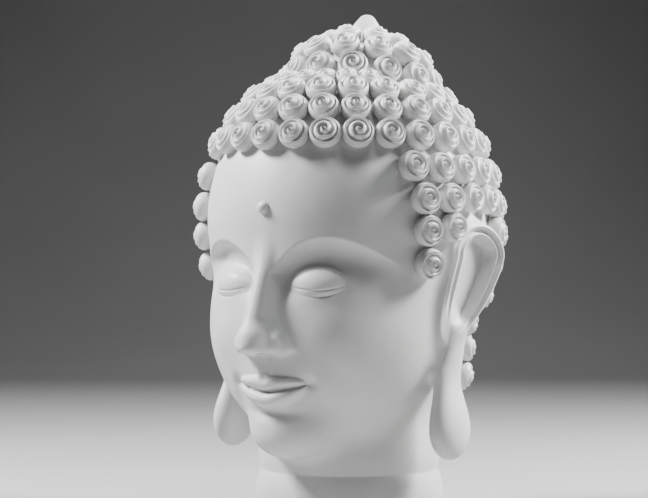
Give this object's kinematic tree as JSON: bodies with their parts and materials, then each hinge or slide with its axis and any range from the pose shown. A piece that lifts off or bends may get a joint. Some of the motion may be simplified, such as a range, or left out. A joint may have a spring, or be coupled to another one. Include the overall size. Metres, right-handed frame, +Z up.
{
  "type": "buddha head statue",
  "caption": "Free-standing white ceramic Buddha head on its neck, with snail-shell curls, raised crown, pointed jewel and long lobed ears, for display.",
  "frame": {"origin": "centre of the underside, on the felt's resting face", "axes": "+Z up to the crown jewel; the face looks towards -Y; the statue's left ear is on +X"},
  "size_m": [0.2172, 0.2393, 0.3699],
  "materials": {
    "white_ceramic": "unglazed, fine satin-matt white bisque",
    "felt": "dense pressed wool felt, dark grey"
  },
  "bodies": {
    "root": {"head_shell": "white_ceramic", "ushnisha_shell": "white_ceramic", "crown_jewel": "white_ceramic", "forehead_bead": "white_ceramic", "left_ear": "white_ceramic", "right_ear": "white_ceramic", "base_plate": "white_ceramic", "curls_hairline_ring": "white_ceramic", "curls_crown_row_1": "white_ceramic", "curls_crown_row_2": "white_ceramic", "curls_crown_row_3": "white_ceramic", "curls_ushnisha_foot": "white_ceramic", "curls_ushnisha_row_1": "white_ceramic", "curls_ushnisha_row_2": "white_ceramic", "curls_ushnisha_row_3": "white_ceramic", "curls_temple_row_1": "white_ceramic", "curls_temple_row_2": "white_ceramic", "curls_temple_row_3": "white_ceramic", "curls_sideburn_pair": "white_ceramic", "curls_nape_row_1": "white_ceramic", "curls_nape_row_2": "white_ceramic", "curls_nape_row_3": "white_ceramic", "curls_nape_row_4": "white_ceramic", "curls_nape_row_5": "white_ceramic", "felt_pad": "felt"}
  },
  "joints": []
}
